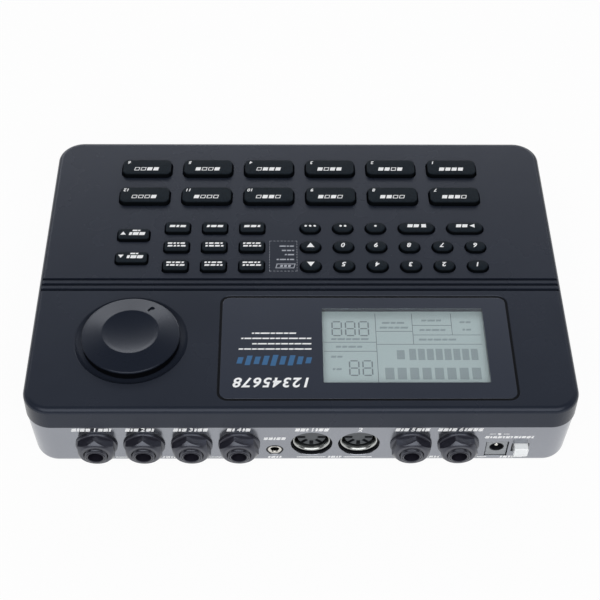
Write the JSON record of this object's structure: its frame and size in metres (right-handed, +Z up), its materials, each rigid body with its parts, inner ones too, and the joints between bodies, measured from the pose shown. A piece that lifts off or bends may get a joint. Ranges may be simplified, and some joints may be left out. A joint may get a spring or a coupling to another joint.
{
  "type": "drum machine",
  "caption": "Table-top drum machine: sloping deck with rubber pads and keys, finger wheel and display lens, over a wedge case with a rear socket panel and push button.",
  "frame": {"origin": "on the table, at the middle of the outline seen from above, sockets included", "axes": "+Z up; -Y towards the player; +Y out of the socket panel; +X to the player's right"},
  "size_m": [0.236, 0.1758, 0.0444],
  "materials": {
    "cover": "fine-textured satin dark grey",
    "case": "glossy lacquered dark grey",
    "lens": "polished smoked panel",
    "display": "pale grey-green display glass",
    "mat": "moulded silicone",
    "board": "soldered circuit board",
    "steel": "plated steel",
    "wheel": "fine satin black",
    "socket_black": "moulded black",
    "nut": "turned black",
    "nickel": "nickel plate",
    "switch": "moulded",
    "button": "white moulded",
    "screw": "blackened steel",
    "foot": "black rubber",
    "keys": "fine-textured silicone"
  },
  "bodies": {
    "case": {"top_cover": "cover", "bottom_case": "case", "display_lens": "lens", "display_panel": "display", "key_mat": "mat", "key_board": "board", "main_board": "board", "wheel_encoder": "steel", "jack_bodies": "socket_black", "jack_nuts": "nut", "round_sockets": "socket_black", "mini_jack": "nickel", "power_inlet": "socket_black", "power_switch": "switch", "backup_cell": "steel", "case_screws": "screw", "rubber_feet": "foot"},
    "wheel": {"data_wheel": "wheel", "wheel_shaft": "steel"},
    "power": {"power_button": "button"},
    "pad_1": {"pad_1": "keys"},
    "pad_2": {"pad_2": "keys"},
    "pad_3": {"pad_3": "keys"},
    "pad_4": {"pad_4": "keys"},
    "pad_5": {"pad_5": "keys"},
    "pad_6": {"pad_6": "keys"},
    "pad_7": {"pad_7": "keys"},
    "pad_8": {"pad_8": "keys"},
    "pad_9": {"pad_9": "keys"},
    "pad_10": {"pad_10": "keys"},
    "pad_11": {"pad_11": "keys"},
    "pad_12": {"pad_12": "keys"},
    "key_play": {"key_play": "keys"},
    "key_stop": {"key_stop": "keys"},
    "key_pattern_a": {"key_pattern_a": "keys"},
    "key_pattern_b": {"key_pattern_b": "keys"},
    "key_fill": {"key_fill": "keys"},
    "key_up": {"key_up": "keys"},
    "key_down": {"key_down": "keys"},
    "key_0": {"key_0": "keys"},
    "key_1": {"key_1": "keys"},
    "key_2": {"key_2": "keys"},
    "key_3": {"key_3": "keys"},
    "key_4": {"key_4": "keys"},
    "key_5": {"key_5": "keys"},
    "key_6": {"key_6": "keys"},
    "key_7": {"key_7": "keys"},
    "key_8": {"key_8": "keys"},
    "key_9": {"key_9": "keys"},
    "key_tempo_up": {"key_tempo_up": "keys"},
    "key_tempo_down": {"key_tempo_down": "keys"},
    "function_key_1": {"function_key_1": "keys"},
    "function_key_2": {"function_key_2": "keys"},
    "function_key_3": {"function_key_3": "keys"},
    "function_key_4": {"function_key_4": "keys"},
    "function_key_5": {"function_key_5": "keys"},
    "function_key_6": {"function_key_6": "keys"},
    "function_key_7": {"function_key_7": "keys"},
    "function_key_8": {"function_key_8": "keys"},
    "function_key_9": {"function_key_9": "keys"}
  },
  "joints": [
    {"name": "wheel_spin", "type": "hinge", "parent": "case", "child": "wheel", "pos_m": [0.074, 0.04131, 0.03776], "axis": [0, -0.0872, 0.9962], "continuous": true},
    {"name": "power_push", "type": "slide", "parent": "case", "child": "power", "axis": [0, -1, 0], "range_m": [0, 0.0025], "stiffness_N_per_m": 500, "springref_m": -0.0015},
    {"name": "pad_1_push", "type": "slide", "parent": "case", "child": "pad_1", "axis": [0, 0.0872, -0.9962], "range_m": [0, 0.0014], "stiffness_N_per_m": 600, "springref_m": -0.0006},
    {"name": "pad_2_push", "type": "slide", "parent": "case", "child": "pad_2", "axis": [0, 0.0872, -0.9962], "range_m": [0, 0.0014], "stiffness_N_per_m": 600, "springref_m": -0.0006},
    {"name": "pad_3_push", "type": "slide", "parent": "case", "child": "pad_3", "axis": [0, 0.0872, -0.9962], "range_m": [0, 0.0014], "stiffness_N_per_m": 600, "springref_m": -0.0006},
    {"name": "pad_4_push", "type": "slide", "parent": "case", "child": "pad_4", "axis": [0, 0.0872, -0.9962], "range_m": [0, 0.0014], "stiffness_N_per_m": 600, "springref_m": -0.0006},
    {"name": "pad_5_push", "type": "slide", "parent": "case", "child": "pad_5", "axis": [0, 0.0872, -0.9962], "range_m": [0, 0.0014], "stiffness_N_per_m": 600, "springref_m": -0.0006},
    {"name": "pad_6_push", "type": "slide", "parent": "case", "child": "pad_6", "axis": [0, 0.0872, -0.9962], "range_m": [0, 0.0014], "stiffness_N_per_m": 600, "springref_m": -0.0006},
    {"name": "pad_7_push", "type": "slide", "parent": "case", "child": "pad_7", "axis": [0, 0.0872, -0.9962], "range_m": [0, 0.0014], "stiffness_N_per_m": 600, "springref_m": -0.0006},
    {"name": "pad_8_push", "type": "slide", "parent": "case", "child": "pad_8", "axis": [0, 0.0872, -0.9962], "range_m": [0, 0.0014], "stiffness_N_per_m": 600, "springref_m": -0.0006},
    {"name": "pad_9_push", "type": "slide", "parent": "case", "child": "pad_9", "axis": [0, 0.0872, -0.9962], "range_m": [0, 0.0014], "stiffness_N_per_m": 600, "springref_m": -0.0006},
    {"name": "pad_10_push", "type": "slide", "parent": "case", "child": "pad_10", "axis": [0, 0.0872, -0.9962], "range_m": [0, 0.0014], "stiffness_N_per_m": 600, "springref_m": -0.0006},
    {"name": "pad_11_push", "type": "slide", "parent": "case", "child": "pad_11", "axis": [0, 0.0872, -0.9962], "range_m": [0, 0.0014], "stiffness_N_per_m": 600, "springref_m": -0.0006},
    {"name": "pad_12_push", "type": "slide", "parent": "case", "child": "pad_12", "axis": [0, 0.0872, -0.9962], "range_m": [0, 0.0014], "stiffness_N_per_m": 600, "springref_m": -0.0006},
    {"name": "key_play_push", "type": "slide", "parent": "case", "child": "key_play", "axis": [0, 0.0872, -0.9962], "range_m": [0, 0.0014], "stiffness_N_per_m": 600, "springref_m": -0.0006},
    {"name": "key_stop_push", "type": "slide", "parent": "case", "child": "key_stop", "axis": [0, 0.0872, -0.9962], "range_m": [0, 0.0014], "stiffness_N_per_m": 600, "springref_m": -0.0006},
    {"name": "key_pattern_a_push", "type": "slide", "parent": "case", "child": "key_pattern_a", "axis": [0, 0.0872, -0.9962], "range_m": [0, 0.0014], "stiffness_N_per_m": 600, "springref_m": -0.0006},
    {"name": "key_pattern_b_push", "type": "slide", "parent": "case", "child": "key_pattern_b", "axis": [0, 0.0872, -0.9962], "range_m": [0, 0.0014], "stiffness_N_per_m": 600, "springref_m": -0.0006},
    {"name": "key_fill_push", "type": "slide", "parent": "case", "child": "key_fill", "axis": [0, 0.0872, -0.9962], "range_m": [0, 0.0014], "stiffness_N_per_m": 600, "springref_m": -0.0006},
    {"name": "key_up_push", "type": "slide", "parent": "case", "child": "key_up", "axis": [0, 0.0872, -0.9962], "range_m": [0, 0.0014], "stiffness_N_per_m": 600, "springref_m": -0.0006},
    {"name": "key_down_push", "type": "slide", "parent": "case", "child": "key_down", "axis": [0, 0.0872, -0.9962], "range_m": [0, 0.0014], "stiffness_N_per_m": 600, "springref_m": -0.0006},
    {"name": "key_0_push", "type": "slide", "parent": "case", "child": "key_0", "axis": [0, 0.0872, -0.9962], "range_m": [0, 0.0014], "stiffness_N_per_m": 600, "springref_m": -0.0006},
    {"name": "key_1_push", "type": "slide", "parent": "case", "child": "key_1", "axis": [0, 0.0872, -0.9962], "range_m": [0, 0.0014], "stiffness_N_per_m": 600, "springref_m": -0.0006},
    {"name": "key_2_push", "type": "slide", "parent": "case", "child": "key_2", "axis": [0, 0.0872, -0.9962], "range_m": [0, 0.0014], "stiffness_N_per_m": 600, "springref_m": -0.0006},
    {"name": "key_3_push", "type": "slide", "parent": "case", "child": "key_3", "axis": [0, 0.0872, -0.9962], "range_m": [0, 0.0014], "stiffness_N_per_m": 600, "springref_m": -0.0006},
    {"name": "key_4_push", "type": "slide", "parent": "case", "child": "key_4", "axis": [0, 0.0872, -0.9962], "range_m": [0, 0.0014], "stiffness_N_per_m": 600, "springref_m": -0.0006},
    {"name": "key_5_push", "type": "slide", "parent": "case", "child": "key_5", "axis": [0, 0.0872, -0.9962], "range_m": [0, 0.0014], "stiffness_N_per_m": 600, "springref_m": -0.0006},
    {"name": "key_6_push", "type": "slide", "parent": "case", "child": "key_6", "axis": [0, 0.0872, -0.9962], "range_m": [0, 0.0014], "stiffness_N_per_m": 600, "springref_m": -0.0006},
    {"name": "key_7_push", "type": "slide", "parent": "case", "child": "key_7", "axis": [0, 0.0872, -0.9962], "range_m": [0, 0.0014], "stiffness_N_per_m": 600, "springref_m": -0.0006},
    {"name": "key_8_push", "type": "slide", "parent": "case", "child": "key_8", "axis": [0, 0.0872, -0.9962], "range_m": [0, 0.0014], "stiffness_N_per_m": 600, "springref_m": -0.0006},
    {"name": "key_9_push", "type": "slide", "parent": "case", "child": "key_9", "axis": [0, 0.0872, -0.9962], "range_m": [0, 0.0014], "stiffness_N_per_m": 600, "springref_m": -0.0006},
    {"name": "key_tempo_up_push", "type": "slide", "parent": "case", "child": "key_tempo_up", "axis": [0, 0.0872, -0.9962], "range_m": [0, 0.0014], "stiffness_N_per_m": 600, "springref_m": -0.0006},
    {"name": "key_tempo_down_push", "type": "slide", "parent": "case", "child": "key_tempo_down", "axis": [0, 0.0872, -0.9962], "range_m": [0, 0.0014], "stiffness_N_per_m": 600, "springref_m": -0.0006},
    {"name": "function_key_1_push", "type": "slide", "parent": "case", "child": "function_key_1", "axis": [0, 0.0872, -0.9962], "range_m": [0, 0.0014], "stiffness_N_per_m": 600, "springref_m": -0.0006},
    {"name": "function_key_2_push", "type": "slide", "parent": "case", "child": "function_key_2", "axis": [0, 0.0872, -0.9962], "range_m": [0, 0.0014], "stiffness_N_per_m": 600, "springref_m": -0.0006},
    {"name": "function_key_3_push", "type": "slide", "parent": "case", "child": "function_key_3", "axis": [0, 0.0872, -0.9962], "range_m": [0, 0.0014], "stiffness_N_per_m": 600, "springref_m": -0.0006},
    {"name": "function_key_4_push", "type": "slide", "parent": "case", "child": "function_key_4", "axis": [0, 0.0872, -0.9962], "range_m": [0, 0.0014], "stiffness_N_per_m": 600, "springref_m": -0.0006},
    {"name": "function_key_5_push", "type": "slide", "parent": "case", "child": "function_key_5", "axis": [0, 0.0872, -0.9962], "range_m": [0, 0.0014], "stiffness_N_per_m": 600, "springref_m": -0.0006},
    {"name": "function_key_6_push", "type": "slide", "parent": "case", "child": "function_key_6", "axis": [0, 0.0872, -0.9962], "range_m": [0, 0.0014], "stiffness_N_per_m": 600, "springref_m": -0.0006},
    {"name": "function_key_7_push", "type": "slide", "parent": "case", "child": "function_key_7", "axis": [0, 0.0872, -0.9962], "range_m": [0, 0.0014], "stiffness_N_per_m": 600, "springref_m": -0.0006},
    {"name": "function_key_8_push", "type": "slide", "parent": "case", "child": "function_key_8", "axis": [0, 0.0872, -0.9962], "range_m": [0, 0.0014], "stiffness_N_per_m": 600, "springref_m": -0.0006},
    {"name": "function_key_9_push", "type": "slide", "parent": "case", "child": "function_key_9", "axis": [0, 0.0872, -0.9962], "range_m": [0, 0.0014], "stiffness_N_per_m": 600, "springref_m": -0.0006}
  ]
}
